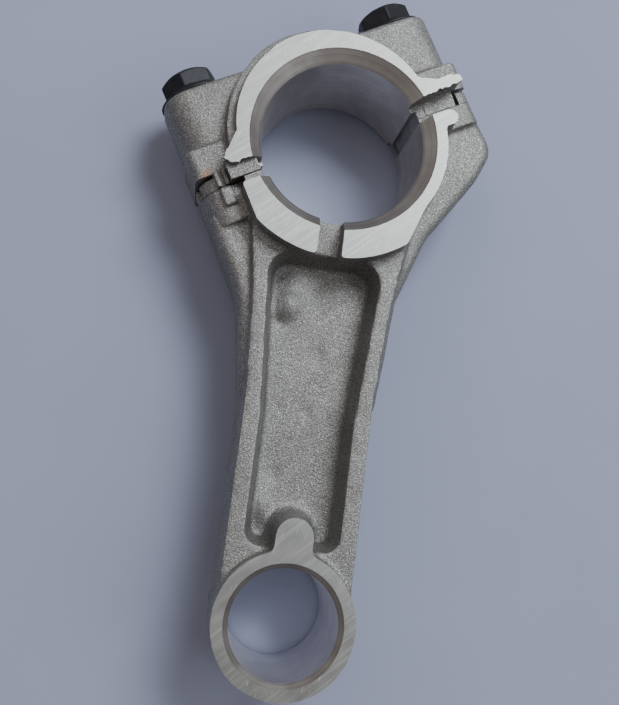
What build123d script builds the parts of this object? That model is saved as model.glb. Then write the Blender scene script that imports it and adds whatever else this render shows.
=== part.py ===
"""Connecting rod of a small single-cylinder engine: rod, bearing cap and two flanged cap bolts.

The origin is the centre of the crankpin bore, half way through the width of the rod. +Z runs along
that bore. The piston-pin bore lies at -Y, and the cap sits on the +Y side of an oblique split.
Points given as (u, v) lie in the split's own directions: u along the split, v square to it,
towards the cap and along the cap bolts.
"""

from build123d import *
from math import cos, radians, sin, sqrt, tan
import os

os.makedirs("parts", exist_ok=True)

# ---- bores and width ----
centre_distance = 107.0
end_width = 29.6
crank_bore_d = 38.0
crank_chamfer = 2.6
crank_chamfer_depth = 2.8
pin_bore_d = 23.0
pin_chamfer = 1.1
split_angle = 30.0
end_draft = 1.5

# ---- cap bolts: flanged M8 ----
bolt_d = 8.0
bore_to_bolt_wall = 2.9
bolt_length = 35.0
bolt_head_height = 6.2
bolt_hex = 12.0
bolt_flange_d = 17.0
bolt_flange_height = 1.9
flange_rim_height = 0.9
head_bevel_fall = 1.0
head_bevel_inset = 0.5
bolt_tip_chamfer = 0.9
left_hex_turn = 12.0
right_hex_turn = 24.0
thread_clearance = 0.06
cap_hole_clearance = 0.25
tapped_spare_depth = 3.5

# ---- bolt bosses and the flange bands on both sides of the split ----
boss_wall = 4.4
boss_corner_r = 6.5
boss_half_depth = 9.0
seat_height = 24.9
seat_edge = 0.8
band_proud = 0.6
band_overhang = 0.3
cap_band_height = 10.6
rod_left_band_height = 8.4
rod_right_band_height = 5.4
rod_left_shoulder_length = 24.0
rod_right_shoulder_length = 13.0
shoulder_spread = 0.7
cap_band_corner_r = 2.0
rod_left_band_corner_r = 6.0
rod_right_band_corner_r = 3.0

# ---- locating ears: they rise from the rod and sit in notches of the cap ----
ear_height = 3.2
ear_thickness = 3.0
ear_corner_r = 2.4
ear_inset = 0.5
ear_inner_z = 3.6
ear_gap = 0.5
ear_root = 4.0

# ---- cap ring ----
cap_face_wall = 3.9
cap_face_shift = (-0.5, 3.1)
cap_body_proud = 1.2
cap_body_shift = (-1.2, 3.6)
cap_body_step = 2.2
flare_reach = 5.15
# Corners of the machined flares beside the split: how far outside the flare line, and how high.
left_flare = ((-1.4, 9.4), (1.2, 6.7), (3.1, 4.8), (2.2, 3.2))
right_flare = (
    (0.0, 3.2),
    (2.0, 3.7),
    (7.5, 3.7),
    (7.4, 4.5),
    (1.6, 5.6),
    (0.0, 6.8),
    (-2.4, 7.6),
    (-3.4, 10.0),
)
split_relief_width = 3.2

# ---- rod ring ----
ring_bottom_wall = 9.0
ring_side_wall = 5.1
ring_corner_angle = 52.5
ring_flank_angle = 33.0
ring_lip = 1.8
ring_lug_r = 1.9
ring_lug_reach = 1.3
ring_lug_overlap = 0.3
ring_side_top_drop = 18.0
oil_slot_width = 5.6
oil_slot_shift = -0.3
oil_slot_depth = 5.0
slot_run_out = 2.0
parting_groove_width = 3.6
parting_groove_depth = 1.1

# ---- shank: an I-section ----
shank_half_width = 15.5
shank_top_half_width = 20.5
shank_top_y = -14.0
shank_flare = 1.5
shank_flare_y = -37.0
shank_straight_length = 47.0
shank_bend_r = 60.0
flange_height = 10.6
flange_draft = 7.4
web_thickness = 5.0
pocket_draft = 10.0
pocket_tuck = 1.4
pocket_top_half_width = 13.2
pocket_half_width = 10.4
pocket_straight_length = 43.0
pocket_top_corner_r = 5.5
pocket_end_corner_r = 3.6
shoulder_height = 8.3
shoulder_edge_r = 2.4
shoulder_bend_r = 24.0
right_foot_out = 2.1
right_foot_up = 3.0
right_waist_out = 7.7
right_waist_up = 1.0
right_heel_in = 6.0
right_heel_down = 5.2
heel_r = 5.0

# ---- small end ----
pin_ring_r = 15.1
pin_lug_r = 4.0
pin_lug_reach = 22.0
pin_lug_fillet = 1.6

# ---- cast match marks at the left joint ----
mark_offset = 3.1
mark_width = 2.8
mark_length = 3.6
mark_end_r = 1.33
mark_proud = 0.6
strip_width = 0.9
strip_spread = (-1.1, 0.9)

# ---- values that follow ----
half_width = end_width / 2
crank_r = crank_bore_d / 2
pin_r = pin_bore_d / 2
bolt_u = crank_r + bore_to_bolt_wall + bolt_d / 2
boss_u = bolt_u + bolt_d / 2 + boss_wall
joint_u = boss_u + band_overhang
flare_u = crank_r + flare_reach
cap_face_r = crank_r + cap_face_wall
cap_body_r = cap_face_r + cap_body_proud
ring_bottom_r = crank_r + ring_bottom_wall
ring_side_r = crank_r + ring_side_wall
ring_lug_u = ring_side_r + ring_lug_reach
ring_side_top_angle = split_angle - ring_side_top_drop
small_end_y = -centre_distance
shank_straight_y = small_end_y + shank_straight_length
pocket_straight_y = small_end_y + pocket_straight_length
pocket_end_y = small_end_y + pin_ring_r
pocket_top_y = -ring_bottom_r + pocket_tuck
mark_u = -bolt_u - mark_offset
band_z = boss_half_depth + band_proud
bolt_tip_v = seat_height - bolt_length
tapped_depth = tapped_spare_depth - bolt_tip_v
half_web = web_thickness / 2
ear_u = boss_u - ear_inset
notch_u = ear_u - ear_thickness - ear_gap
far = 4 * centre_distance

u_dir = Vector(cos(radians(split_angle)), sin(radians(split_angle)), 0)
v_dir = Vector(-sin(radians(split_angle)), cos(radians(split_angle)), 0)


def split_plane(z=0.0):
    """Plane square to the bores whose x runs along the split and y towards the cap."""
    return Plane(origin=(0, 0, z), x_dir=u_dir, z_dir=(0, 0, 1))


def bolt_plane(u, v):
    """Plane square to a cap bolt's axis, v above the split, its x along the split."""
    return Plane(origin=u_dir * u + v_dir * v, x_dir=u_dir, z_dir=v_dir)


def in_rod_frame(u, v):
    """(u, v) as a point of the rod's own X and Y."""
    point = u_dir * u + v_dir * v
    return (point.X, point.Y)


def on_circle(radius, degrees):
    """Point of a circle about the crankpin bore, the angle counted from +X."""
    return (radius * cos(radians(degrees)), radius * sin(radians(degrees)))


def half_section_of_bore(radius, chamfer_r, chamfer_depth):
    """Half section of a bore with a chamfer at both ends, drawn as (radius, height)."""
    straight = half_width - chamfer_depth
    Polyline(
        (0, -half_width),
        (radius + chamfer_r, -half_width),
        (radius, -straight),
        (radius, straight),
        (radius + chamfer_r, half_width),
        (0, half_width),
        close=True,
    )


# =====================================================================================
# Rod
# =====================================================================================
left_shoulder_end = in_rod_frame(-joint_u - shoulder_spread, -rod_left_shoulder_length)
right_shoulder_end = in_rod_frame(joint_u + shoulder_spread, -rod_right_shoulder_length)
right_shoulder_foot = (shank_half_width + right_foot_out, shank_flare_y + right_foot_up)
right_waist = (shank_half_width + right_waist_out, -crank_r + right_waist_up)
right_heel = in_rod_frame(joint_u - right_heel_in, -rod_right_shoulder_length - right_heel_down)
ring_left_top = in_rod_frame(-(ring_side_r + ring_lug_r - ring_lug_overlap), -ring_lip)
lug_centre = in_rod_frame(ring_lug_u, -(ring_lip + ring_lug_r))
lug_foot = in_rod_frame(ring_lug_u - ring_lug_r, -(ring_lip + 2 * ring_lug_r))
lug_top = in_rod_frame(ring_lug_u, -ring_lip)
lug_neck = in_rod_frame(crank_r, -ring_lip)

with BuildPart() as rod_body:
    # Shoulders that carry the pull from the bolt bosses down into the shank.
    with BuildSketch(Plane.XY.offset(-shoulder_height)):
        with BuildLine():
            Polyline(
                in_rod_frame(-joint_u, 0),
                left_shoulder_end,
                (-shank_half_width, shank_straight_y),
                (shank_half_width, shank_straight_y),
                right_shoulder_foot,
                right_waist,
                right_heel,
                right_shoulder_end,
                in_rod_frame(joint_u, 0),
                close=True,
            )
        make_face()
        fillet(vertices().sort_by_distance((*left_shoulder_end, -shoulder_height))[0], radius=shoulder_bend_r)
        fillet(vertices().sort_by_distance((*right_heel, -shoulder_height))[0], radius=heel_r)
        fillet(vertices().sort_by_distance((*right_shoulder_end, -shoulder_height))[0], radius=heel_r)
    extrude(amount=2 * shoulder_height)
    outer_walls = rod_body.faces().sort_by(Axis.Z)
    fillet(outer_walls[0].edges() + outer_walls[-1].edges(), radius=shoulder_edge_r)

    # Shank slab, drafted from the middle towards both faces.
    for side in (1, -1):
        with BuildSketch(Plane.XY):
            with BuildLine():
                Polyline(
                    (-shank_top_half_width, shank_top_y),
                    (-shank_half_width - shank_flare, shank_flare_y),
                    (-shank_half_width, shank_straight_y),
                    (-shank_half_width, small_end_y),
                    (shank_half_width, small_end_y),
                    (shank_half_width, shank_straight_y),
                    (shank_half_width + shank_flare, shank_flare_y),
                    (shank_top_half_width, shank_top_y),
                    close=True,
                )
            make_face()
            fillet(vertices().sort_by(Axis.Y)[2:4], radius=shank_bend_r)
            fillet(vertices().sort_by(Axis.Y)[-4:-2], radius=shank_bend_r)
        extrude(amount=side * flange_height, taper=flange_draft)

    # Raised bands along the split, which back the bolt threads.
    for side, height, corner_r in (
        (-1, rod_left_band_height, rod_left_band_corner_r),
        (1, rod_right_band_height, rod_right_band_corner_r),
    ):
        with BuildSketch(bolt_plane(0, 0)):
            with Locations((side * (joint_u + crank_r) / 2, 0)):
                Rectangle(joint_u - crank_r, 2 * band_z)
            outer = vertices().sort_by(Axis(origin=(0, 0, 0), direction=u_dir * side))[-2:]
            fillet(outer, radius=corner_r)
        extrude(amount=-height)

    # Lower half of the bearing ring, its outline on the machined faces.
    with BuildSketch(Plane.XY):
        with BuildLine():
            ThreePointArc(
                on_circle(ring_bottom_r, -180 + ring_corner_angle),
                (0, -ring_bottom_r),
                on_circle(ring_bottom_r, -ring_corner_angle),
            )
            Line(on_circle(ring_bottom_r, -ring_corner_angle), on_circle(ring_side_r, -ring_flank_angle))
            ThreePointArc(
                on_circle(ring_side_r, -ring_flank_angle),
                on_circle(ring_side_r, 0),
                on_circle(ring_side_r, ring_side_top_angle),
            )
            Polyline(
                on_circle(ring_side_r, ring_side_top_angle),
                lug_foot,
                lug_centre,
                lug_top,
                lug_neck,
                (0, 0),
                ring_left_top,
            )
            Line(ring_left_top, on_circle(ring_bottom_r, -180 + ring_corner_angle))
        make_face()
        with Locations(lug_centre):
            Circle(ring_lug_r)
    extrude(amount=half_width, both=True)

    # Small end, with the keyhole lug that reaches down the shank.
    with BuildSketch(Plane.XY):
        with Locations((0, small_end_y)):
            Circle(pin_ring_r + half_width * tan(radians(end_draft)))
    extrude(amount=half_width, both=True, taper=end_draft)
    with BuildSketch(Plane.XY):
        with Locations((0, small_end_y)):
            Circle(pin_ring_r)
        with Locations((0, small_end_y + pin_lug_reach - pin_lug_r)):
            Circle(pin_lug_r)
        with Locations((0, small_end_y + (pin_lug_reach - pin_lug_r) / 2)):
            Rectangle(2 * pin_lug_r, pin_lug_reach - pin_lug_r)
        neck_y = small_end_y + sqrt(pin_ring_r**2 - pin_lug_r**2)
        necks = vertices().sort_by_distance((0, neck_y, 0))[:2]
        fillet(necks, radius=pin_lug_fillet)
    extrude(amount=half_width, both=True)

    # Pockets of the I-section, one on each face.
    for side in (1, -1):
        with BuildSketch(Plane.XY.offset(side * flange_height)):
            with BuildLine():
                Polyline(
                    (-pocket_top_half_width, pocket_top_y),
                    (-pocket_half_width, pocket_straight_y),
                    (-pocket_half_width, pocket_end_y),
                    (pocket_half_width, pocket_end_y),
                    (pocket_half_width, pocket_straight_y),
                    (pocket_top_half_width, pocket_top_y),
                    close=True,
                )
            make_face()
            fillet(vertices().group_by(Axis.Y)[-1], radius=pocket_top_corner_r)
            fillet(vertices().group_by(Axis.Y)[0], radius=pocket_end_corner_r)
        extrude(amount=-side * (flange_height - half_web), taper=pocket_draft, mode=Mode.SUBTRACT)

    # Both bores.
    with BuildSketch(Plane.XZ):
        with BuildLine():
            half_section_of_bore(crank_r, crank_chamfer, crank_chamfer_depth)
        make_face()
    revolve(axis=Axis.Z, mode=Mode.SUBTRACT)
    with BuildSketch(Plane.XZ.offset(centre_distance)):
        with BuildLine():
            half_section_of_bore(pin_r, pin_chamfer, pin_chamfer)
        make_face()
    revolve(axis=Axis((0, small_end_y, 0), (0, 0, 1)), mode=Mode.SUBTRACT)

    # Everything above the split belongs to the cap, apart from the ears.
    with BuildSketch(bolt_plane(0, 0)):
        Rectangle(far, far)
    extrude(amount=far, mode=Mode.SUBTRACT)

    # Oil slots in both faces, and the groove along the split inside the bore.
    for side in (1, -1):
        with BuildSketch(Plane.XY.offset(side * half_width)):
            with Locations((oil_slot_shift, -(ring_bottom_r + crank_r) / 2)):
                Rectangle(oil_slot_width, ring_bottom_r - crank_r + 2 * slot_run_out)
        extrude(amount=-side * oil_slot_depth, mode=Mode.SUBTRACT)
    with BuildSketch(split_plane(-half_width)):
        Rectangle(2 * (crank_r + parting_groove_depth), parting_groove_width)
    extrude(amount=end_width, mode=Mode.SUBTRACT)

    # Tapped holes for the cap bolts.
    for side in (-1, 1):
        with BuildSketch(bolt_plane(side * bolt_u, 0)):
            Circle(bolt_d / 2 + thread_clearance)
        extrude(amount=-tapped_depth, mode=Mode.SUBTRACT)

    # Locating ears at both ends of the split, on both faces.
    for side in (-1, 1):
        for face in (-1, 1):
            with BuildSketch(split_plane(face * ear_inner_z)):
                with Locations((side * (ear_u - ear_thickness / 2), (ear_height - ear_root) / 2)):
                    Rectangle(ear_thickness, ear_height + ear_root)
                outer_top = vertices().sort_by_distance((*in_rod_frame(side * ear_u, ear_height), 0))[0]
                fillet(outer_top, radius=ear_corner_r)
            extrude(amount=face * (boss_half_depth - ear_inner_z))

    # Raised match mark below the left joint.
    with BuildSketch(split_plane(band_z)):
        with Locations((mark_u, -mark_length / 2)):
            Rectangle(mark_width, mark_length)
        fillet(vertices().sort_by(Axis(origin=(0, 0, 0), direction=v_dir))[:2], radius=mark_end_r)
    extrude(amount=mark_proud)

rod_body.part.label = "rod_body"


# =====================================================================================
# Bearing cap
# =====================================================================================
with BuildPart() as bearing_cap:
    # Bolt bosses and the flat slab between them, up to the bolt seats.
    with BuildSketch(bolt_plane(0, 0)):
        Rectangle(2 * boss_u, 2 * boss_half_depth)
        fillet(vertices(), radius=boss_corner_r)
    extrude(amount=seat_height)
    seat = bearing_cap.faces().sort_by(Axis(origin=(0, 0, 0), direction=v_dir))[-1]
    fillet(seat.edges(), radius=seat_edge)

    # Flange band along the split.
    with BuildSketch(bolt_plane(0, 0)):
        Rectangle(2 * joint_u, 2 * band_z)
        fillet(vertices(), radius=cap_band_corner_r)
    extrude(amount=cap_band_height)

    # Cast ring, and on both sides of it the slightly smaller machined face.
    with BuildSketch(split_plane(-half_width + cap_body_step)):
        with Locations(cap_body_shift):
            Circle(cap_body_r)
    extrude(amount=end_width - 2 * cap_body_step)
    with BuildSketch(split_plane(-half_width)):
        with Locations(cap_face_shift):
            Circle(cap_face_r)
        with BuildLine():
            Polyline(
                *[(-flare_u - out, height) for out, height in left_flare],
                *[(flare_u + out, height) for out, height in right_flare],
                close=True,
            )
        make_face()
    extrude(amount=end_width)

    # Only the upper side of the split belongs to the cap.
    with BuildSketch(bolt_plane(0, 0)):
        Rectangle(far, far)
    extrude(amount=-far, mode=Mode.SUBTRACT)

    # Relief in both faces just above the split, its floor level with the band.
    for side in (1, -1):
        with BuildSketch(split_plane(side * half_width)):
            Rectangle(far, 2 * split_relief_width)
        extrude(amount=-side * (half_width - band_z), mode=Mode.SUBTRACT)

    # Two raised strips on the relief floor, the cap's half of the match mark.
    with BuildSketch(split_plane(band_z)):
        for shift in strip_spread:
            with Locations((mark_u + shift, split_relief_width / 2)):
                Rectangle(strip_width, split_relief_width)
    extrude(amount=mark_proud)

    # Crankpin bore and the groove along the split.
    with BuildSketch(Plane.XZ):
        with BuildLine():
            half_section_of_bore(crank_r, crank_chamfer, crank_chamfer_depth)
        make_face()
    revolve(axis=Axis.Z, mode=Mode.SUBTRACT)
    with BuildSketch(split_plane(-half_width)):
        Rectangle(2 * (crank_r + parting_groove_depth), parting_groove_width)
    extrude(amount=end_width, mode=Mode.SUBTRACT)

    # Clearance holes for the cap bolts.
    for side in (-1, 1):
        with BuildSketch(bolt_plane(side * bolt_u, 0)):
            Circle(bolt_d / 2 + cap_hole_clearance)
        extrude(amount=seat_height, mode=Mode.SUBTRACT)

    # Notches that take the rod's ears.
    for side in (-1, 1):
        for face in (-1, 1):
            with BuildSketch(split_plane(face * (ear_inner_z - ear_gap))):
                with Locations((side * (notch_u + far / 2), 0)):
                    Rectangle(far, 2 * (ear_height + ear_gap))
            extrude(amount=face * half_width, mode=Mode.SUBTRACT)

bearing_cap.part.label = "bearing_cap"


# =====================================================================================
# Cap bolts
# =====================================================================================
def flanged_bolt(u, hex_turn):
    """Flanged hexagon bolt in place at u, its head on the cap's seat and its hexagon turned."""
    axis = Axis(origin=u_dir * u, direction=v_dir)
    side_plane = Plane(origin=u_dir * u, x_dir=u_dir, z_dir=(0, 0, 1))
    top = seat_height + bolt_head_height
    with BuildPart() as bolt:
        with BuildSketch(bolt_plane(u, seat_height)):
            RegularPolygon(bolt_hex / 2, 6, major_radius=False, rotation=hex_turn)
        extrude(amount=bolt_head_height)
        # The hexagon is cut to a turned envelope that rounds off its corners.
        with BuildSketch(side_plane):
            with BuildLine():
                Polyline(
                    (0, seat_height),
                    (bolt_flange_d, seat_height),
                    (bolt_flange_d, top - head_bevel_fall),
                    (bolt_hex / cos(radians(30)) / 2, top - head_bevel_fall),
                    (bolt_hex / 2 - head_bevel_inset, top),
                    (0, top),
                    close=True,
                )
            make_face()
        revolve(axis=axis, mode=Mode.INTERSECT)
        # Flange, shank and chamfered tip are one turned profile.
        with BuildSketch(side_plane):
            with BuildLine():
                Polyline(
                    (0, bolt_tip_v),
                    (bolt_d / 2 - bolt_tip_chamfer, bolt_tip_v),
                    (bolt_d / 2, bolt_tip_v + bolt_tip_chamfer),
                    (bolt_d / 2, seat_height),
                    (bolt_flange_d / 2, seat_height),
                    (bolt_flange_d / 2, seat_height + flange_rim_height),
                    (bolt_hex / 2, seat_height + bolt_flange_height),
                    (0, seat_height + bolt_flange_height),
                    close=True,
                )
            make_face()
        revolve(axis=axis)
    return bolt


cap_bolt_left = flanged_bolt(-bolt_u, left_hex_turn)
cap_bolt_left.part.label = "cap_bolt_left"

cap_bolt_right = flanged_bolt(bolt_u, right_hex_turn)
cap_bolt_right.part.label = "cap_bolt_right"

for piece in (rod_body, bearing_cap, cap_bolt_left, cap_bolt_right):
    export_step(piece.part, f"parts/{piece.part.label}.step")
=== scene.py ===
"""Connecting rod of a small engine: a cast rod and bearing cap with machined faces, and two black cap bolts.

Shapes are worked out in millimetres in the rod's own frame and become metres when a piece is finished.
The split between rod and cap has its own directions: u along it, v square to it and towards the cap.
"""

import math

import bmesh
import bpy
from mathutils import Matrix, Vector, noise


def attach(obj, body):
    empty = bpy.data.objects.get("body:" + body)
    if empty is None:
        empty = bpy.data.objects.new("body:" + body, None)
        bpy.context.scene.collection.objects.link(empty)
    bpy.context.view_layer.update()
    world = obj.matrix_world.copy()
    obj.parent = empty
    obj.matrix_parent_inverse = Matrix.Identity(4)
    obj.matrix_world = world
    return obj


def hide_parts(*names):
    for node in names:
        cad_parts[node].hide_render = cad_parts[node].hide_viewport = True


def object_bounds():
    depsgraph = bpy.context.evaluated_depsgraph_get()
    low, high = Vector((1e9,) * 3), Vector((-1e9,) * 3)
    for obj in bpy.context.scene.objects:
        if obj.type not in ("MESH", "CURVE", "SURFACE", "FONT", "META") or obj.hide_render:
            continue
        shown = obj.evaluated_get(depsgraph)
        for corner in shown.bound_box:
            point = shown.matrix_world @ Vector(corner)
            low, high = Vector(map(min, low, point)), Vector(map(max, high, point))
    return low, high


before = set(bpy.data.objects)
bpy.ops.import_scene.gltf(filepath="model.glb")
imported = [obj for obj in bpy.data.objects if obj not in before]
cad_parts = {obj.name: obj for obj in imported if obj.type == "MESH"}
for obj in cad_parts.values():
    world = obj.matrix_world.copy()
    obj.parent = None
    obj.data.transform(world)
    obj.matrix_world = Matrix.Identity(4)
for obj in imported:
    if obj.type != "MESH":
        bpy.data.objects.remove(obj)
cad_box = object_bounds()

# ---- sizes of the machined surfaces, in millimetres ----
HALF_WIDTH = 14.8
CAST_HALF_WIDTH = 16.2
CRANK_R, CRANK_CHAMFER, CRANK_CHAMFER_DEPTH = 19.0, 2.6, 2.8
PIN_R, PIN_CHAMFER, PIN_Y = 11.5, 1.1, -107.0
SPLIT_ANGLE = 30.0
SPLIT_ALLOWANCE = 1.4
BOLT_U, SEAT_V, TIP_V = 25.9, 24.9, -10.1
BOLT_R, THREAD_PITCH, THREAD_DEPTH = 4.0, 1.25, 0.62
THREAD_START_V = 9.0
TAPPED_BOTTOM_V = -13.6
HOLE_R = 4.25
PLAY = 0.06
SEAT_ALLOWANCE, SEAT_R = 0.25, 9.2
JOINT_LINE_DEPTH = 0.2
GROOVE_R, GROOVE_V = 20.1, 1.8
CAST_SHARP_ANGLE, BOLT_SHARP_ANGLE = 32, 40
FINE_EDGE, SHORTEST_STEP = 1.2, 0.05
BAND_Z, BAND_TOP = 9.72, 9.84
RELIEF_V, LIP_V = 3.0, -1.8
SEAT_CORNER_U, SEAT_CORNER_Z, SEAT_CORNER_R = -29.1, 4.34, 5.4
FAR = 300.0

U_DIR = Vector((math.cos(math.radians(SPLIT_ANGLE)), math.sin(math.radians(SPLIT_ANGLE)), 0))
V_DIR = Vector((-U_DIR.y, U_DIR.x, 0))
Z_DIR = Vector((0, 0, 1))
SPLIT_FRAME = Matrix((U_DIR, V_DIR, Z_DIR)).transposed().to_4x4()
RELIEF_FRAME = Matrix((V_DIR, Z_DIR, U_DIR)).transposed().to_4x4()
UNTURNED = Matrix.Identity(4)
AT_PIN = Matrix.Translation((0, PIN_Y, 0))

# ---- boxes on the joint, as their low and high corners in the split's u, v and z ----
OUT_U, IN_U = 34.6, 10.0
ROD_LEFT_BAND = (-OUT_U, -8.4, -BAND_TOP), (-IN_U, 0.6, BAND_TOP)
ROD_RIGHT_BAND = (IN_U, -5.4, -BAND_TOP), (OUT_U, 0.6, BAND_TOP)
CAP_BAND = (-OUT_U, -0.6, -BAND_TOP), (OUT_U, 10.6, BAND_TOP)
LEFT_CORNER, RIGHT_CORNER, CAP_CORNER = 5.5, 3.0, 2.0
ROD_BAND_ROUNDING, CAP_BAND_ROUNDING, EAR_ROUNDING = 0.6, 0.5, 1.0
LEFT_EAR_BAND = (-OUT_U, -7.0, -BAND_TOP), (-IN_U, 3.2, BAND_TOP)
RIGHT_EAR_BAND = (IN_U, -7.0, -BAND_TOP), (OUT_U, 3.2, BAND_TOP)
EARS = (
    ((-33.8, -4.0, 3.6), (-30.45, 6.0, 14), LEFT_EAR_BAND, LEFT_CORNER),
    ((31.1, -4.0, 3.6), (33.8, 6.0, 14), RIGHT_EAR_BAND, RIGHT_CORNER),
)
EAR_ROOMS = (((-40, -2.0, 3.1), (-30.3, 3.7, 14)), ((30.3, -2.0, 3.1), (40, 3.7, 14)))
EAR_ROOM_ROUNDING = 0.3
SIDE_SLIT = (-40, 3.05, -14), (-33.2, 3.7, 14)
ROD_RELIEF = (-23.4, LIP_V, BAND_Z), (23.4, 2.0, 18)
CAP_RELIEF = (-22.6, -2.0, BAND_Z), (22.6, RELIEF_V, 18)
RELIEF_ROUNDING = 0.5
LIP_STEP = (-24.6, LIP_V - 0.3, BAND_Z - 1), (-20.4, -0.03, 13.1)
LIP_STEP_ROUNDING = 0.12
MATCH_FINGER = (-30.5, -4.6, BAND_Z - 2), (-27.5, -0.05, BAND_Z + 1.2)
FINGER_ROUNDING = 0.7
STRIP_US, STRIP_HALF, STRIP_ROUNDING = (-29.95, -28.1), 0.55, 0.35
STRIP_LOW_V, STRIP_HIGH_V, STRIP_LOW_Z, STRIP_HIGH_Z = 0.05, 3.9, BAND_Z - 2, BAND_Z + 1.3

# The oil slot in x, y and z, and the raised step in the cap's left relief as (v, z) points.
OIL_SLOT = (-3.1, -25.0, 9.8), (2.5, -16.5, 18)
OIL_SLOT_ROUNDING = 0.8
RELIEF_STEP = [(0.04, 8.0), (0.04, 13.1), (0.2, 13.25), (1.4, 13.3), (2.6, 13.2), (4.2, 13.25), (4.2, 8.0)]
RELIEF_STEP_US = -27.4, -20.4

# ---- burrs of the cap's face at the split, as (u, v) points ----
LEFT_FLARE = [
    (-20.6, 9.6), (-22.6, 9.6), (-25.3, 6.9), (-27.4, 4.9),
    (-26.6, 3.6), (-25.2, 3.0), (-21.2, 3.5), (-20.5, 3.5),
]
RIGHT_FLARE = [
    (20.8, 3.0), (24.2, 3.1), (26.0, 3.5), (28.2, 3.1), (31.4, 3.6), (31.9, 4.2), (31.5, 5.2),
    (28.6, 5.9), (26.2, 5.7), (24.4, 6.6), (22.2, 7.5), (20.6, 10.2), (20.0, 9.0),
]
FLARE_BOTTOM_Z, FLARE_TOP_Z = 13.4, 17.0
LEFT_TEAR, RIGHT_TEAR = 0.45, 0.55
TEAR_SEEDS = (1, 4.0), (-1, 9.0)

# ---- cast skin: grid step and smoothing passes, waves as (height, wavelength) ----
ROD_SKIN, CAP_SKIN, HEAD_SKIN = (0.5, 3), (0.38, 4), (0.2, 2)
CAST_WAVES = (0.10, 7.0), (0.04, 1.6)
PLUG_ALLOWANCE = 0.2
# Boxes whose fillets are wider, as low and high corners and passes; z is taken from the middle plane.
WIDER_FILLETS = (
    ((-13.5, -92, 0), (13.5, -25, 8.0), 10),
    ((5.0, -90, 0), (13.0, -28, 9.5), 12),
    ((14.0, -72, -1), (28.0, -50, 7.5), 14),
)
# Bumps and dents of the front pocket's floor: centre, radii and height.
POCKET_SPOTS = (
    ((-6.4, -37.6), (4.0, 4.2), 1.8),
    ((-8.4, -41.8), (2.6, 1.6), -0.6),
    ((1.8, -48.6), (1.8, 3.0), -0.34),
    ((0.6, -62.0), (1.5, 2.2), -0.3),
    ((-4.8, -76.5), (1.6, 2.4), -0.36),
    ((-6.8, -84.5), (2.2, 4.2), 0.9),
)
LUG_FOOT_SIDE = [(6.0, 2.0), (4.9, 4.5), (4.3, 8), (4.1, 12), (0, 12)]
LUG_FOOT_Y = PIN_Y + 18

# ---- bolt head ----
HEAD_HEIGHT, HEX_HALF_FLATS, HEX_LIFT = 6.2, 6.0, 0.5
FLANGE_SIDE = [(8.2, 0.0), (8.5, 0.25), (8.5, 0.7), (8.25, 0.95), (6.4, 1.9), (0, 2.2)]


def bolt_frame(u):
    """Frame on a cap bolt's axis: its z runs up the bolt from the split, its x along the split."""
    axes = Matrix((U_DIR, -Z_DIR, V_DIR)).transposed().to_4x4()
    return Matrix.Translation(U_DIR * u) @ axes


# =====================================================================================
# Shaping tools
# =====================================================================================
def to_object(shape, name):
    """Turns a bmesh into a linked object and frees the bmesh."""
    mesh = bpy.data.meshes.new(name)
    shape.to_mesh(mesh)
    shape.free()
    piece = bpy.data.objects.new(name, mesh)
    bpy.context.scene.collection.objects.link(piece)
    return piece


def scrap(piece):
    """Throws away a helper object with its mesh."""
    mesh = piece.data
    bpy.data.objects.remove(piece)
    bpy.data.meshes.remove(mesh)


def settle(piece):
    """Makes the result of a piece's modifiers its own mesh."""
    shown = piece.evaluated_get(bpy.context.evaluated_depsgraph_get())
    old = piece.data
    piece.data = bpy.data.meshes.new_from_object(shown)
    piece.modifiers.clear()
    bpy.data.meshes.remove(old)


def work_with(piece, tool, operation):
    """Cuts a tool's shape out of a piece, adds it, or keeps only what they share."""
    change = piece.modifiers.new("tool", "BOOLEAN")
    change.operation = operation
    change.solver = "MANIFOLD"
    change.object = tool
    settle(piece)
    scrap(tool)


def turned(profile, place, steps=192):
    """Solid of revolution from (radius, height) points that start and end on the axis."""
    shape = bmesh.new()
    points = [shape.verts.new((radius, 0, height)) for radius, height in profile]
    lines = [shape.edges.new(pair) for pair in zip(points, points[1:])]
    bmesh.ops.spin(
        shape,
        geom=points + lines,
        cent=(0, 0, 0),
        axis=(0, 0, 1),
        angle=2 * math.pi,
        steps=steps,
        use_merge=True,
    )
    bmesh.ops.remove_doubles(shape, verts=shape.verts, dist=1e-4)
    bmesh.ops.recalc_face_normals(shape, faces=shape.faces)
    bmesh.ops.transform(shape, matrix=place, verts=shape.verts)
    return shape


def round_edges(shape, edges, offset, segments):
    """Rounds some of a shape's edges."""
    bmesh.ops.bevel(
        shape,
        geom=edges,
        offset=offset,
        offset_type="OFFSET",
        affect="EDGES",
        segments=segments,
        profile=0.5,
        material=-1,
    )


def block(low, high, place, rounding=0.0, corner=0.0):
    """Box between two corners; corner rounds the edges along its y, rounding the rest of its edges."""
    shape = bmesh.new()
    low, high = Vector(low), Vector(high)
    bmesh.ops.create_cube(shape, size=1)
    bmesh.ops.scale(shape, vec=high - low, verts=shape.verts)
    bmesh.ops.translate(shape, vec=(low + high) / 2, verts=shape.verts)
    if corner:
        upright = [e for e in shape.edges if abs(e.verts[0].co.y - e.verts[1].co.y) > 1e-3]
        round_edges(shape, upright, corner, 8)
    if rounding:
        sharp = [e for e in shape.edges if e.calc_face_angle() > 0.8]
        round_edges(shape, sharp, rounding, 4)
    bmesh.ops.transform(shape, matrix=place, verts=shape.verts)
    return shape


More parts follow.
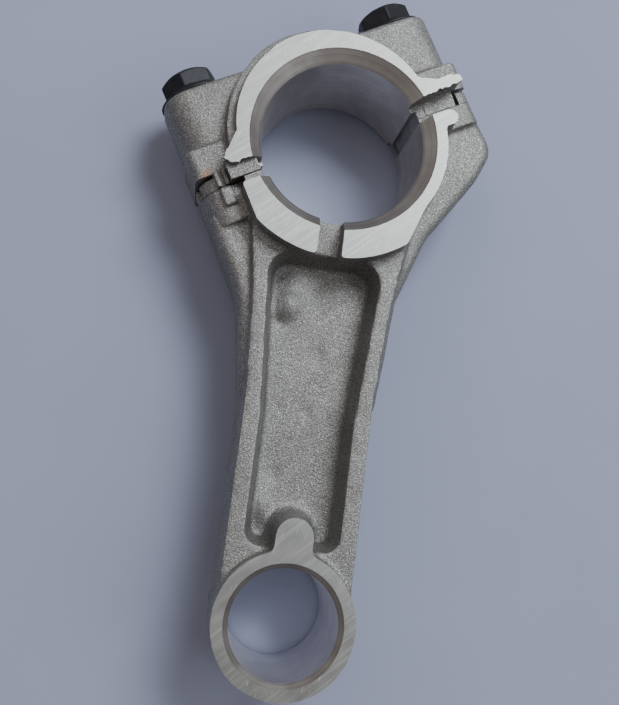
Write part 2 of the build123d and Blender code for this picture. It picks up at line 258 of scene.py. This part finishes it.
def plate(outline, low, high, place):
    """Flat plate with the given outline of (x, y) points, between two heights."""
    shape = bmesh.new()
    corners = [shape.verts.new((x, y, low)) for x, y in outline]
    base = shape.faces.new(corners)
    raised = bmesh.ops.extrude_face_region(shape, geom=[base])["geom"]
    tops = [v for v in raised if isinstance(v, bmesh.types.BMVert)]
    bmesh.ops.translate(shape, vec=(0, 0, high - low), verts=tops)
    bmesh.ops.recalc_face_normals(shape, faces=shape.faces)
    bmesh.ops.transform(shape, matrix=place, verts=shape.verts)
    return shape


def torn(outline, first, last, height, seed):
    """Breaks some sides of an outline into the small uneven teeth of a torn burr."""
    points = []
    for index, (start, end) in enumerate(zip(outline, outline[1:] + outline[:1])):
        points.append(start)
        if first <= index < last:
            start, end = Vector(start), Vector(end)
            teeth = max(2, round((end - start).length / 0.45))
            square = Vector((end.y - start.y, start.x - end.x)).normalized()
            for tooth in range(1, teeth):
                at = start.lerp(end, tooth / teeth)
                points.append(tuple(at + square * height * noise.noise(Vector((at.x, at.y, seed)) * 1.9)))
    return points


def bore_profile(radius, chamfer, chamfer_depth, grow=0.0):
    """Half section of a bore with a chamfer at both ends; it runs on past both faces."""
    wide, straight = radius + chamfer + grow, HALF_WIDTH - chamfer_depth
    end = CAST_HALF_WIDTH + 1
    half = [(radius + grow, straight), (wide, HALF_WIDTH), (wide, end), (0, end)]
    return [(r, -h) for r, h in reversed(half)] + half


def cylinder_profile(radius, low, high):
    """Half section of a plain cylinder."""
    return [(0, low), (radius, low), (radius, high), (0, high)]


def threaded_profile(low, high, step):
    """Half section of a shank with enough rings to carry a thread."""
    rings = math.ceil((high - low) / step)
    return [(0, low)] + [(BOLT_R, low + (high - low) * i / rings) for i in range(rings + 1)] + [(0, high)]


def wind_thread(shape, low, high, grow=0.0):
    """Presses a helical thread into a shank between two heights; it fades in at its upper end."""
    for vert in shape.verts:
        radius = math.hypot(vert.co.x, vert.co.y)
        if radius < BOLT_R / 2:
            continue
        turn = math.atan2(vert.co.y, vert.co.x) / (2 * math.pi)
        phase = (vert.co.z / THREAD_PITCH - turn) % 1.0
        flank = abs(2 * phase - 1)
        depth = THREAD_DEPTH * min(1.0, max(0.0, 1.25 * flank - 0.1))
        fade = min(1.0, max(0.0, (high - vert.co.z) / THREAD_PITCH))
        tip = 0.9 * min(1.0, max(0.0, 1 - (vert.co.z - low) / 0.9))
        wanted = min(BOLT_R - depth * fade, BOLT_R - tip) + grow
        vert.co.x *= wanted / radius
        vert.co.y *= wanted / radius


# =====================================================================================
# Castings
# =====================================================================================
def near_face(vert):
    """Whether a point lies on one of the two machined faces."""
    return abs(abs(vert.co.z) - HALF_WIDTH) < 0.02


def rough_casting(node, side):
    """The CAD solid as it comes from the mould: longer past the split and thicker at both faces."""
    shape = bmesh.new()
    shape.from_mesh(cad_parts[node].data)
    bmesh.ops.scale(shape, vec=(1000, 1000, 1000), verts=shape.verts)
    bmesh.ops.remove_doubles(shape, verts=shape.verts, dist=2e-3)
    cut = bmesh.ops.bisect_plane(
        shape,
        geom=shape.verts[:] + shape.edges[:] + shape.faces[:],
        dist=1e-4,
        plane_co=V_DIR * side * 0.01,
        plane_no=-V_DIR * side,
        clear_outer=True,
    )
    rim = [e for e in cut["geom_cut"] if isinstance(e, bmesh.types.BMEdge)]
    longer = bmesh.ops.extrude_edge_only(shape, edges=rim)["geom"]
    moved = [v for v in longer if isinstance(v, bmesh.types.BMVert)]
    bmesh.ops.translate(shape, vec=-V_DIR * side * SPLIT_ALLOWANCE, verts=moved)
    bmesh.ops.holes_fill(shape, edges=[e for e in longer if isinstance(e, bmesh.types.BMEdge)])
    for vert in shape.verts:
        if near_face(vert):
            vert.co.z = math.copysign(CAST_HALF_WIDTH, vert.co.z)
    return shape


def add_shape(shape, other):
    """Adds another bmesh's faces to a bmesh."""
    mesh = bpy.data.meshes.new("extra")
    other.to_mesh(mesh)
    other.free()
    shape.from_mesh(mesh)
    bpy.data.meshes.remove(mesh)


def soften(shape, name, voxel, passes):
    """Gives a solid the evenly rounded edges and corners of a casting."""
    piece = to_object(shape, name)
    change = piece.modifiers.new("grid", "REMESH")
    change.mode = "VOXEL"
    change.voxel_size = voxel
    settle(piece)
    soft = bmesh.new()
    soft.from_mesh(piece.data)
    for _ in range(passes):
        bmesh.ops.smooth_vert(
            soft, verts=soft.verts, factor=0.5, use_axis_x=True, use_axis_y=True, use_axis_z=True
        )
    scrap(piece)
    return soft


def swell(shape, centre, radii, height):
    """Raises (or, with a negative height, sinks) an oval spot of a pocket floor."""
    for vert in shape.verts:
        if 0 < vert.co.z < 7 and vert.normal.z > 0.3:
            reach = math.hypot((vert.co.x - centre[0]) / radii[0], (vert.co.y - centre[1]) / radii[1])
            if reach < 2:
                vert.co.z += height * math.exp(-(reach**2) * 1.6)


def uneven(shape, amounts):
    """Small waves over the whole skin: (height, wavelength) pairs."""
    for vert in shape.verts:
        lift = sum(height * noise.noise(vert.co / length) for height, length in amounts)
        vert.co += vert.normal * lift


def finish_casting(shape, name, side, additions, cutters):
    """Adds the crisp cast details, then machines the faces, bore, split and holes."""
    piece = to_object(shape, name)
    for extra in additions:
        work_with(piece, to_object(extra, "extra"), "UNION")
    for face in (1, -1):
        low, high = sorted((face * HALF_WIDTH, face * (HALF_WIDTH + 6)))
        mill = block((-FAR, -FAR, low), (FAR, FAR, high), UNTURNED)
        work_with(piece, to_object(mill, "mill"), "DIFFERENCE")
    low, high = sorted((0, -side * FAR))
    saw = block((-FAR, low, -FAR), (FAR, high, FAR), SPLIT_FRAME)
    work_with(piece, to_object(saw, "saw"), "DIFFERENCE")
    bore = turned(bore_profile(CRANK_R, CRANK_CHAMFER, CRANK_CHAMFER_DEPTH), UNTURNED, 256)
    work_with(piece, to_object(bore, "boring_bar"), "DIFFERENCE")
    groove = block((-GROOVE_R, -GROOVE_V, -FAR), (GROOVE_R, GROOVE_V, FAR), SPLIT_FRAME)
    work_with(piece, to_object(groove, "groove_cutter"), "DIFFERENCE")
    for cutter in cutters:
        work_with(piece, to_object(cutter, "cutter"), "DIFFERENCE")
    return piece


def on_both_faces(low, high, place, rounding=0.0, corner=0.0):
    """A block and its mirror image at the other face."""
    back = (low[0], low[1], -high[2]), (high[0], high[1], -low[2])
    return [block(low, high, place, rounding, corner), block(*back, place, rounding, corner)]


def level_spots(shape, low, high, passes):
    """Smooths the points inside a box a little more, for wider fillets."""
    inside = [
        v
        for v in shape.verts
        if low[0] < v.co.x < high[0] and low[1] < v.co.y < high[1] and low[2] < abs(v.co.z) < high[2]
    ]
    for _ in range(passes):
        bmesh.ops.smooth_vert(
            shape, verts=inside, factor=0.5, use_axis_x=True, use_axis_y=True, use_axis_z=True
        )


# What each patch of a casting is, in the order of its material slots.
AS_CAST, MILLED, BORED, CHAMFERED, FACED, HONED, PIN_CHAMFERED = range(7)


def patch_kind(centre, normal):
    """Tells which tool left a patch of skin, from where it lies and faces."""
    height = abs(centre.z)
    u, v = centre.dot(U_DIR), centre.dot(V_DIR)
    if abs(height - HALF_WIDTH) < 0.02 and abs(normal.z) > 0.98:
        return MILLED
    for radius, chamfer, depth, y, wall, edge in (
        (CRANK_R, CRANK_CHAMFER, CRANK_CHAMFER_DEPTH, 0.0, BORED, CHAMFERED),
        (PIN_R, PIN_CHAMFER, PIN_CHAMFER, PIN_Y, HONED, PIN_CHAMFERED),
    ):
        reach = math.hypot(centre.x, centre.y - y)
        straight = HALF_WIDTH - depth
        if height < straight + 0.01 and abs(reach - radius) < 0.02:
            return wall
        if height > straight - 0.01 and abs(reach - radius - chamfer * (height - straight) / depth) < 0.03:
            return edge
    if abs(u) < GROOVE_R + 0.01 and abs(v) < GROOVE_V + 0.01:
        return FACED
    across = math.hypot(abs(u) - BOLT_U, centre.z)
    if across < HOLE_R + 0.05 and TAPPED_BOTTOM_V - 2 < v < SEAT_V + 0.1:
        return FACED
    if abs(v) < 0.02 and abs(normal.dot(V_DIR)) > 0.98:
        return FACED
    if abs(v - SEAT_V) < 0.02 and normal.dot(V_DIR) > 0.98:
        return FACED
    return AS_CAST


def open_joint_line(shape):
    """Breaks the outer edge of the split face, so that the joint shows as a fine groove."""
    moves = []
    for vert in shape.verts:
        kinds = {f.material_index for f in vert.link_faces}
        if abs(vert.co.dot(V_DIR)) < 0.02 and AS_CAST in kinds and FACED in kinds:
            outward = sum((f.normal for f in vert.link_faces if f.material_index == AS_CAST), Vector())
            outward -= V_DIR * outward.dot(V_DIR)
            if outward.length > 0.1:
                moves.append((vert, outward.normalized() * JOINT_LINE_DEPTH))
    for vert, step in moves:
        vert.co -= step


def mark_edges(shape):
    """Writes how strongly each point stands out from its neighbours, for burnished edges and painted shade in
    hollows.
    """
    layer = shape.verts.layers.float.new("ridge")
    fine = [v for v in shape.verts if v.link_edges and max(e.calc_length() for e in v.link_edges) < FINE_EDGE]
    for vert in fine:
        steps = [edge.other_vert(vert).co - vert.co for edge in vert.link_edges]
        falls = [vert.normal.dot(step) / max(step.length, SHORTEST_STEP) for step in steps]
        vert[layer] = -sum(falls) / len(falls)
    for _ in range(2):
        around = [sum(e.other_vert(v)[layer] for e in v.link_edges) / len(v.link_edges) for v in fine]
        for vert, value in zip(fine, around):
            vert[layer] = (vert[layer] + value) / 2


def complete(piece, materials, node, body, sharp_angle, sort_patches=None):
    """Turns a piece to metres, gives it its finishes and puts it on its body in place of its CAD solid."""
    piece.data.materials.clear()
    for material in materials:
        piece.data.materials.append(material)
    shape = bmesh.new()
    shape.from_mesh(piece.data)
    bmesh.ops.remove_doubles(shape, verts=shape.verts, dist=1e-3)
    bmesh.ops.dissolve_degenerate(shape, edges=shape.edges, dist=1e-4)
    bmesh.ops.recalc_face_normals(shape, faces=shape.faces)
    shape.normal_update()
    if sort_patches:
        for face in shape.faces:
            face.material_index = sort_patches(face.calc_center_median(), face.normal)
        open_joint_line(shape)
        mark_edges(shape)
    for face in shape.faces:
        face.smooth = True
    bmesh.ops.scale(shape, vec=(0.001, 0.001, 0.001), verts=shape.verts)
    for vert in shape.verts:
        vert.co = [min(max(value, low), high) for value, low, high in zip(vert.co, *cad_box)]
    shape.to_mesh(piece.data)
    shape.free()
    piece.data.set_sharp_from_angle(angle=math.radians(sharp_angle))
    even = piece.modifiers.new("even_shading", "WEIGHTED_NORMAL")
    even.keep_sharp = True
    settle(piece)
    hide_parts(node)
    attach(piece, body)


def tapped_hole(u):
    """The threaded hole of a cap bolt, as the shape of what is cut away."""
    shape = turned(threaded_profile(TAPPED_BOTTOM_V, 2.0, 0.16), UNTURNED, 72)
    wind_thread(shape, TAPPED_BOTTOM_V, 30.0, PLAY)
    bmesh.ops.transform(shape, matrix=bolt_frame(u), verts=shape.verts)
    return shape


def round_left_seat(shape):
    """Draws the skin of the rod's left seat in under the rounded corners of its band."""
    for vert in shape.verts:
        u, v, height = vert.co.dot(U_DIR), vert.co.dot(V_DIR), abs(vert.co.z)
        reach = math.hypot(u - SEAT_CORNER_U, height - SEAT_CORNER_Z)
        if u < SEAT_CORNER_U and height > SEAT_CORNER_Z and -5.0 < v < 0.6 and reach > SEAT_CORNER_R:
            pull = 1 - SEAT_CORNER_R / reach
            vert.co -= U_DIR * (u - SEAT_CORNER_U) * pull
            vert.co.z -= math.copysign((height - SEAT_CORNER_Z) * pull, vert.co.z)


def crank_plug():
    """Fills the crankpin bore of a rough casting, so that its edges stay crisp when it is bored."""
    return turned(bore_profile(CRANK_R, CRANK_CHAMFER, CRANK_CHAMFER_DEPTH, PLUG_ALLOWANCE), UNTURNED)


def make_rod(materials):
    """The rod: casting, machining, locating ears and the rod's half of the match mark."""
    shape = rough_casting("rod_body", -1)
    add_shape(shape, crank_plug())
    add_shape(shape, turned(bore_profile(PIN_R, PIN_CHAMFER, PIN_CHAMFER, PLUG_ALLOWANCE), AT_PIN))
    for u in (-BOLT_U, BOLT_U):
        add_shape(shape, turned(cylinder_profile(4.3, TAPPED_BOTTOM_V - 0.3, 1.2), bolt_frame(u)))
    lug_foot = [(r, -h) for r, h in reversed(LUG_FOOT_SIDE)] + LUG_FOOT_SIDE
    add_shape(shape, turned(lug_foot, Matrix.Translation((0, LUG_FOOT_Y, 0))))
    shape = soften(shape, "rod_casting", *ROD_SKIN)
    for low, high, passes in WIDER_FILLETS:
        level_spots(shape, low, high, passes)
    shape.normal_update()
    for centre, radii, height in POCKET_SPOTS:
        swell(shape, centre, radii, height)
    uneven(shape, CAST_WAVES)
    round_left_seat(shape)
    additions = [
        block(*ROD_LEFT_BAND, SPLIT_FRAME, ROD_BAND_ROUNDING, LEFT_CORNER),
        block(*ROD_RIGHT_BAND, SPLIT_FRAME, ROD_BAND_ROUNDING, RIGHT_CORNER),
    ]
    cutters = [tapped_hole(-BOLT_U), tapped_hole(BOLT_U)]
    cutters.append(turned(bore_profile(PIN_R, PIN_CHAMFER, PIN_CHAMFER), AT_PIN, 192))
    cutters += on_both_faces(*OIL_SLOT, UNTURNED, OIL_SLOT_ROUNDING)
    cutters += on_both_faces(*ROD_RELIEF, SPLIT_FRAME, RELIEF_ROUNDING)
    piece = finish_casting(shape, "rod_casting", -1, additions, cutters)
    for low, high, band, corner in EARS:
        for side in on_both_faces(low, high, SPLIT_FRAME):
            ear = to_object(block(*band, SPLIT_FRAME, EAR_ROUNDING, corner), "ear")
            work_with(ear, to_object(side, "ear_side"), "INTERSECT")
            work_with(piece, ear, "UNION")
    for step in on_both_faces(*LIP_STEP, SPLIT_FRAME, LIP_STEP_ROUNDING):
        work_with(piece, to_object(step, "lip_step"), "UNION")
    finger = block(*MATCH_FINGER, SPLIT_FRAME, FINGER_ROUNDING)
    work_with(piece, to_object(finger, "match_mark"), "UNION")
    complete(piece, materials, "rod_body", "rod", CAST_SHARP_ANGLE, patch_kind)


def make_cap(materials):
    """The bearing cap: casting, machining, bolt seats and the cap's half of the match mark."""
    shape = rough_casting("bearing_cap", 1)
    add_shape(shape, crank_plug())
    for u in (-BOLT_U, BOLT_U):
        hole = cylinder_profile(HOLE_R + PLUG_ALLOWANCE, -1.2, SEAT_V + SEAT_ALLOWANCE)
        add_shape(shape, turned(hole, bolt_frame(u)))
    for vert in shape.verts:
        if vert.co.dot(V_DIR) > SEAT_V - 0.05:
            vert.co += V_DIR * SEAT_ALLOWANCE
    shape = soften(shape, "cap_casting", *CAP_SKIN)
    shape.normal_update()
    uneven(shape, CAST_WAVES)
    additions = [block(*CAP_BAND, SPLIT_FRAME, CAP_BAND_ROUNDING, CAP_CORNER)]
    for face, seed in TEAR_SEEDS:
        low, high = sorted((face * FLARE_BOTTOM_Z, face * FLARE_TOP_Z))
        additions.append(plate(torn(LEFT_FLARE, 2, 6, LEFT_TEAR, seed), low, high, SPLIT_FRAME))
        additions.append(plate(torn(RIGHT_FLARE, 0, 7, RIGHT_TEAR, seed), low, high, SPLIT_FRAME))
    cutters = []
    for u in (-BOLT_U, BOLT_U):
        cutters.append(turned(cylinder_profile(HOLE_R, -5, SEAT_V + 8), bolt_frame(u), 96))
        cutters.append(turned(cylinder_profile(SEAT_R, SEAT_V, SEAT_V + 8), bolt_frame(u), 128))
    cutters += on_both_faces(*CAP_RELIEF, SPLIT_FRAME, RELIEF_ROUNDING)
    for low, high in EAR_ROOMS:
        cutters += on_both_faces(low, high, SPLIT_FRAME, EAR_ROOM_ROUNDING)
    cutters.append(block(*SIDE_SLIT, SPLIT_FRAME))
    piece = finish_casting(shape, "cap_casting", 1, additions, cutters)
    for face in (1, -1):
        step = plate([(v, face * z) for v, z in RELIEF_STEP], *RELIEF_STEP_US, RELIEF_FRAME)
        work_with(piece, to_object(step, "relief_step"), "UNION")
    for u in STRIP_US:
        low, high = (u - STRIP_HALF, STRIP_LOW_V, STRIP_LOW_Z), (u + STRIP_HALF, STRIP_HIGH_V, STRIP_HIGH_Z)
        strip = block(low, high, SPLIT_FRAME, STRIP_ROUNDING)
        work_with(piece, to_object(strip, "match_strip"), "UNION")
    complete(piece, materials, "bearing_cap", "cap", CAST_SHARP_ANGLE, patch_kind)


def make_bolt(name, node, body, u, turn, material):
    """A flanged cap bolt with a chamfered hexagon, a dished top and a helical thread."""
    bottom, top = SEAT_V + HEX_LIFT, SEAT_V + HEAD_HEIGHT
    corner_r = HEX_HALF_FLATS / math.cos(math.radians(30))
    head = bmesh.new()
    bmesh.ops.create_cone(
        head, cap_ends=True, segments=6, radius1=corner_r, radius2=corner_r, depth=top - bottom
    )
    place = Matrix.Translation((0, 0, (top + bottom) / 2)) @ Matrix.Rotation(math.radians(turn), 4, "Z")
    bmesh.ops.transform(head, matrix=place, verts=head.verts)
    piece = to_object(head, name)
    envelope = [
        (0, SEAT_V), (9, SEAT_V), (9, top - 2.0), (corner_r, top - 1.0),
        (5.5, top), (4.6, top), (4.2, top - 0.3), (0, top - 0.3),
    ]
    work_with(piece, to_object(turned(envelope, UNTURNED, 96), "envelope"), "INTERSECT")
    flange = [(0, SEAT_V)] + [(radius, SEAT_V + height) for radius, height in FLANGE_SIDE]
    work_with(piece, to_object(turned(flange, UNTURNED, 128), "flange"), "UNION")
    soft = bmesh.new()
    soft.from_mesh(piece.data)
    scrap(piece)
    piece = to_object(soften(soft, name, *HEAD_SKIN), name)
    shank = turned(threaded_profile(TIP_V, SEAT_V + 1.0, 0.14), UNTURNED, 72)
    wind_thread(shank, TIP_V, THREAD_START_V)
    work_with(piece, to_object(shank, "shank"), "UNION")
    piece.data.transform(bolt_frame(u))
    complete(piece, [material], node, body, BOLT_SHARP_ANGLE)


# =====================================================================================
# Finishes
# =====================================================================================
class Wire:
    """An output of a material node; arithmetic on it adds the Math nodes for it."""

    def __init__(self, tree, output):
        self.tree = tree
        self.output = output

    def node(self, kind, settings=None, inputs=None, out=0):
        """Adds a node: first its settings, then the values or links of its inputs."""
        made = self.tree.nodes.new(kind)
        for name, value in (settings or {}).items():
            setattr(made, name, value)
        for place, value in (inputs or {}).items():
            if isinstance(value, Wire):
                self.tree.links.new(value.output, made.inputs[place])
            else:
                made.inputs[place].default_value = value
        return Wire(self.tree, made.outputs[out])

    def maths(self, operation, *values):
        return self.node("ShaderNodeMath", {"operation": operation}, dict(enumerate(values)))

    def __add__(self, other):
        return self.maths("ADD", self, other)

    def __radd__(self, other):
        return self.maths("ADD", other, self)

    def __sub__(self, other):
        return self.maths("SUBTRACT", self, other)

    def __rsub__(self, other):
        return self.maths("SUBTRACT", other, self)

    def __mul__(self, other):
        return self.maths("MULTIPLY", self, other)

    def __rmul__(self, other):
        return self.maths("MULTIPLY", other, self)

    def between(self, low, high):
        """0 below low, 1 above high, and a smooth rise from one to the other."""
        limits = {0: self, 1: low, 2: high, 3: 0.0, 4: 1.0}
        return self.node("ShaderNodeMapRange", {"interpolation_type": "SMOOTHSTEP"}, limits)

    def near(self, centre, reach):
        """1 at a value, fading to 0 at reach away from it."""
        return 1 - self.maths("ABSOLUTE", self - centre).between(0.0, reach)

    def tint(self, first, second):
        """A colour between two colours or colour wires, mixed by this value."""
        first, second = (end if isinstance(end, Wire) else (*end, 1) for end in (first, second))
        return self.node("ShaderNodeMix", {"data_type": "RGBA"}, {0: self, 6: first, 7: second}, 2)

    def speckle(self, scale, detail=2.0):
        """Cloudy pattern on these coordinates."""
        return self.node("ShaderNodeTexNoise", {}, {"Vector": self, "Scale": scale, "Detail": detail})

    def grains(self, scale):
        """Pattern of packed round grains on these coordinates."""
        return self.node("ShaderNodeTexVoronoi", {"feature": "SMOOTH_F1"}, {"Vector": self, "Scale": scale})

    def part(self, axis):
        """One component of these coordinates."""
        return self.node("ShaderNodeSeparateXYZ", {}, {0: self}, axis)

    def stretched(self, scale, turn=(0, 0, 0), place=(0, 0, 0)):
        """These coordinates moved, turned and scaled."""
        return self.node(
            "ShaderNodeMapping", {}, {"Vector": self, "Location": place, "Rotation": turn, "Scale": scale}
        )

    def relief(self, strength, distance, under=None):
        """Bumps from this height, on top of other bumps if given."""
        sockets = {"Height": self, "Strength": strength, "Distance": distance}
        if under is not None:
            sockets["Normal"] = under
        return self.node("ShaderNodeBump", {}, sockets)


def new_finish(name, **sockets):
    """A material with its constant shader values set; returns it, its shader and its coordinates in mm."""
    material = bpy.data.materials.new(name)
    material.use_nodes = True
    tree = material.node_tree
    shader = tree.nodes["Principled BSDF"]
    for socket, value in sockets.items():
        shader.inputs[socket.replace("_", " ")].default_value = value
    origin = Wire(tree, tree.nodes.new("ShaderNodeTexCoord").outputs["Object"])
    millimetres = origin.stretched((1000, 1000, 1000))
    return material, shader, millimetres


def connect(shader, **wires):
    """Links wires to the shader's inputs."""
    for socket, wire in wires.items():
        wire.tree.links.new(wire.output, shader.inputs[socket.replace("_", " ")])


def cast_finish():
    """Shot-blasted cast aluminium: grey, fine-grained, with bright specks, burnished edges and painted shade
    in its hollows.
    """
    material, shader, at = new_finish("cast_aluminium_skin", Metallic=0.85)
    fine, coarse, cloud = at.speckle(4.2, 2.0), at.grains(2.9), at.speckle(0.13, 3.0)
    sparkle = at.speckle(5.0, 1.0).between(0.56, 0.72)
    tone = cloud.between(0.35, 0.68).tint((0.275, 0.276, 0.270), (0.350, 0.352, 0.345))
    tone = (coarse.between(0.12, 0.60) * 0.75).tint(tone, (0.135, 0.134, 0.130))
    tone = (sparkle * 0.75).tint(tone, (0.70, 0.71, 0.71))
    height = at.part(2)
    rim = height.maths("ABSOLUTE", height).between(HALF_WIDTH - 0.4, HALF_WIDTH - 0.1)
    tone = (rim * 0.6).tint(tone, (0.60, 0.60, 0.59))
    ridge = at.node("ShaderNodeAttribute", {"attribute_name": "ridge"}, {}, 2)
    worn = ridge.between(0.05, 0.24) * at.speckle(1.2, 3.0).between(0.35, 0.60)
    tone = (worn * 0.55).tint(tone, (0.62, 0.62, 0.61))
    # Painted shade: points lying in hollows (negative ridge) are darkened towards dark brown, in place of the
    # shade that gathers there.
    painted_hollow_shade = (0 - ridge).between(0.05, 0.28)
    tone = (painted_hollow_shade * 0.5).tint(tone, (0.110, 0.104, 0.098))
    along_split = at.stretched((1, 1, 1), (0, 0, -math.radians(SPLIT_ANGLE)))
    u, v, z = along_split.part(0), along_split.part(1), along_split.part(2)
    stain = u.near(-32.0, 2.0) * v.near(4.4, 1.3) * z.near(9.0, 2.2)
    tone = (stain * at.speckle(0.9, 3.0).between(0.38, 0.58)).tint(tone, (0.42, 0.17, 0.06))
    joint = v.near(0.0, 0.22)
    tone = (joint * 0.8).tint(tone, (0.035, 0.032, 0.030))
    rough = 0.52 + fine * 0.22 - sparkle * 0.12 - worn * 0.10
    bumps = (coarse * 0.6 + fine * 0.6).relief(0.95, 0.00014, at.speckle(0.6, 3.0).relief(0.22, 0.0003))
    connect(shader, Base_Color=tone, Roughness=rough, Normal=bumps)
    return material


def milled_finish():
    """Milled face: pale, smooth, with faint slanting cutter lines and a few scratches."""
    material, shader, at = new_finish("milled_face", Metallic=1.0)
    along = at.stretched((1, 1, 1), (0, 0, math.radians(-42)))
    lines = along.stretched((0.07, 1.9, 1.0)).speckle(1.0, 4.0)
    cloud = at.speckle(0.16, 3.0)
    steep = at.stretched((1, 1, 1), (0, 0, math.radians(-74)))
    scratch = steep.stretched((0.35, 4.5, 1.0)).speckle(1.0, 1.0).between(0.70, 0.76)
    tone = cloud.between(0.3, 0.7).tint((0.295, 0.304, 0.300), (0.360, 0.370, 0.363))
    tone = (lines.between(0.45, 0.70) * 0.40).tint(tone, (0.54, 0.55, 0.54))
    tone = (lines.between(0.40, 0.25) * 0.30).tint(tone, (0.25, 0.25, 0.245))
    tone = (scratch * 0.6).tint(tone, (0.74, 0.75, 0.74))
    rough = 0.40 + cloud * 0.10 + lines * 0.10
    bumps = lines.relief(0.22, 0.00008)
    connect(shader, Base_Color=tone, Roughness=rough, Normal=bumps)
    return material


def turned_finish(name, centre_y, dark, light, lines_per_mm, strength, contrast=1.0):
    """Bored or turned surface: fine rings round the bore's axis."""
    material, shader, at = new_finish(name, Metallic=1.0)
    centred = at.stretched((1, 1, 1), (0, 0, 0), (0, -centre_y, 0))
    flat = centred.stretched((1, 1, 0))
    radius = flat.node("ShaderNodeVectorMath", {"operation": "LENGTH"}, {0: flat}, 1)
    ring = radius * 1.3 + centred.part(2)
    settings, inputs = {"noise_dimensions": "1D"}, {"W": ring, "Scale": lines_per_mm, "Detail": 3.0}
    rings = ring.node("ShaderNodeTexNoise", settings, inputs)
    cloud = centred.speckle(0.2, 3.0)
    tone = cloud.between(0.3, 0.7).tint(dark, light)
    tone = (rings.between(0.52, 0.72) * (0.55 * contrast)).tint(tone, (0.84, 0.85, 0.86))
    tone = (rings.between(0.44, 0.30) * (0.35 * contrast)).tint(tone, (0.24, 0.23, 0.23))
    rough = 0.32 + cloud * 0.10 + rings * 0.12
    connect(shader, Base_Color=tone, Roughness=rough, Normal=rings.relief(strength, 0.00010))
    return material


def faced_finish():
    """Split faces, bolt seats and holes: cut, dull and slightly rough."""
    material, shader, at = new_finish("faced_joint", Metallic=1.0)
    along = at.stretched((1, 1, 1), (0, 0, -math.radians(SPLIT_ANGLE)))
    lines = along.stretched((4.0, 0.4, 0.4)).speckle(1.0, 3.0)
    cloud = at.speckle(0.4, 3.0)
    tone = cloud.between(0.3, 0.7).tint((0.36, 0.36, 0.35), (0.48, 0.48, 0.47))
    rough = 0.42 + lines * 0.16
    connect(shader, Base_Color=tone, Roughness=rough, Normal=lines.relief(0.25, 0.00008))
    return material


def black_oxide_finish():
    """Black-oxide bolt steel: near black, satin, with greyer worn patches."""
    material, shader, at = new_finish("black_oxide_steel", Metallic=0.6, Specular_IOR_Level=0.3)
    cloud, fine = at.speckle(0.35, 4.0), at.speckle(3.0, 2.0)
    worn = cloud.between(0.50, 0.75) * 0.6
    tone = worn.tint((0.026, 0.027, 0.032), (0.052, 0.052, 0.055))
    rough = 0.40 + cloud * 0.16 + fine * 0.06
    connect(shader, Base_Color=tone, Roughness=rough, Normal=fine.relief(0.25, 0.00006))
    return material


def floor_finish():
    """Plain pale backdrop paper."""
    material, shader, at = new_finish("pale_floor", Roughness=0.92)
    connect(shader, Base_Color=at.speckle(0.02, 2.0).tint((0.285, 0.315, 0.440), (0.325, 0.358, 0.490)))
    return material


# =====================================================================================
# Stage
# =====================================================================================
def make_floor():
    """A large floor that the rod's back faces lie on."""
    shape = bmesh.new()
    bmesh.ops.create_grid(shape, x_segments=1, y_segments=1, size=3.0)
    bmesh.ops.translate(shape, vec=(0, 0, -HALF_WIDTH / 1000), verts=shape.verts)
    floor = to_object(shape, "floor")
    floor.data.materials.append(floor_finish())


def soft_light(name, place, target, size, watts, colour):
    """A square soft box that shines from place towards target."""
    data = bpy.data.lights.new(name, "AREA")
    data.shape = "SQUARE"
    data.size = size
    data.energy = watts
    data.color = colour
    light = bpy.data.objects.new(name, data)
    light.location = place
    light.rotation_euler = (Vector(target) - Vector(place)).to_track_quat("-Z", "Y").to_euler()
    bpy.context.scene.collection.objects.link(light)


def make_lights():
    """Window light from the right, a dim fill from the left and a pale room."""
    middle = (0, -0.04, 0)
    soft_light("window", (0.30, 0.46, 0.80), middle, 0.40, 8.7, (0.93, 0.97, 1.0))
    soft_light("far_window", (0.60, -0.12, 0.60), middle, 0.5, 1.8, (0.90, 0.95, 1.0))
    soft_light("bounce", (-0.38, 0.20, 0.65), middle, 0.6, 1.2, (1.0, 0.95, 0.92))
    world = bpy.data.worlds.new("room")
    world.use_nodes = True
    world.node_tree.nodes["Background"].inputs["Color"].default_value = (0.57, 0.49, 0.45, 1)
    world.node_tree.nodes["Background"].inputs["Strength"].default_value = 0.38
    bpy.context.scene.world = world


def make_camera():
    """Camera above the rod, a little below and left of its middle."""
    data = bpy.data.cameras.new("camera")
    data.lens = 41.82
    data.sensor_width = 36
    camera = bpy.data.objects.new("camera", data)
    camera.matrix_world = Matrix(
        (
            (0.98263258, -0.14362578, -0.11749405, -0.02266),
            (0.12440742, 0.97970714, -0.15715189, -0.07769),
            (0.13768082, 0.13980543, 0.98056026, 0.18826),
            (0, 0, 0, 1),
        )
    )
    bpy.context.scene.collection.objects.link(camera)
    bpy.context.scene.camera = camera


make_camera()
make_lights()
make_floor()
casting_finishes = [
    cast_finish(),
    milled_finish(),
    turned_finish("bored_wall", 0.0, (0.60, 0.57, 0.55), (0.70, 0.67, 0.65), 2.2, 0.10, 0.6),
    turned_finish("turned_chamfer", 0.0, (0.47, 0.46, 0.45), (0.57, 0.56, 0.55), 1.5, 0.50, 1.2),
    faced_finish(),
    # The honed pin bore is bright metal; its lavender tint is a painted reflection of the bluish floor.
    turned_finish("honed_wall_painted_floor_reflection", PIN_Y, (0.80, 0.79, 0.82), (0.88, 0.87, 0.90), 2.5, 0.04, 0.25),
    turned_finish("pin_chamfer", PIN_Y, (0.30, 0.29, 0.28), (0.38, 0.37, 0.36), 1.5, 0.20, 0.5),
]
make_rod(casting_finishes)
make_cap(casting_finishes)
black_oxide = black_oxide_finish()
make_bolt("left_cap_bolt", "cap_bolt_left", "left_bolt", -BOLT_U, 42, black_oxide)
make_bolt("right_cap_bolt", "cap_bolt_right", "right_bolt", BOLT_U, 54, black_oxide)
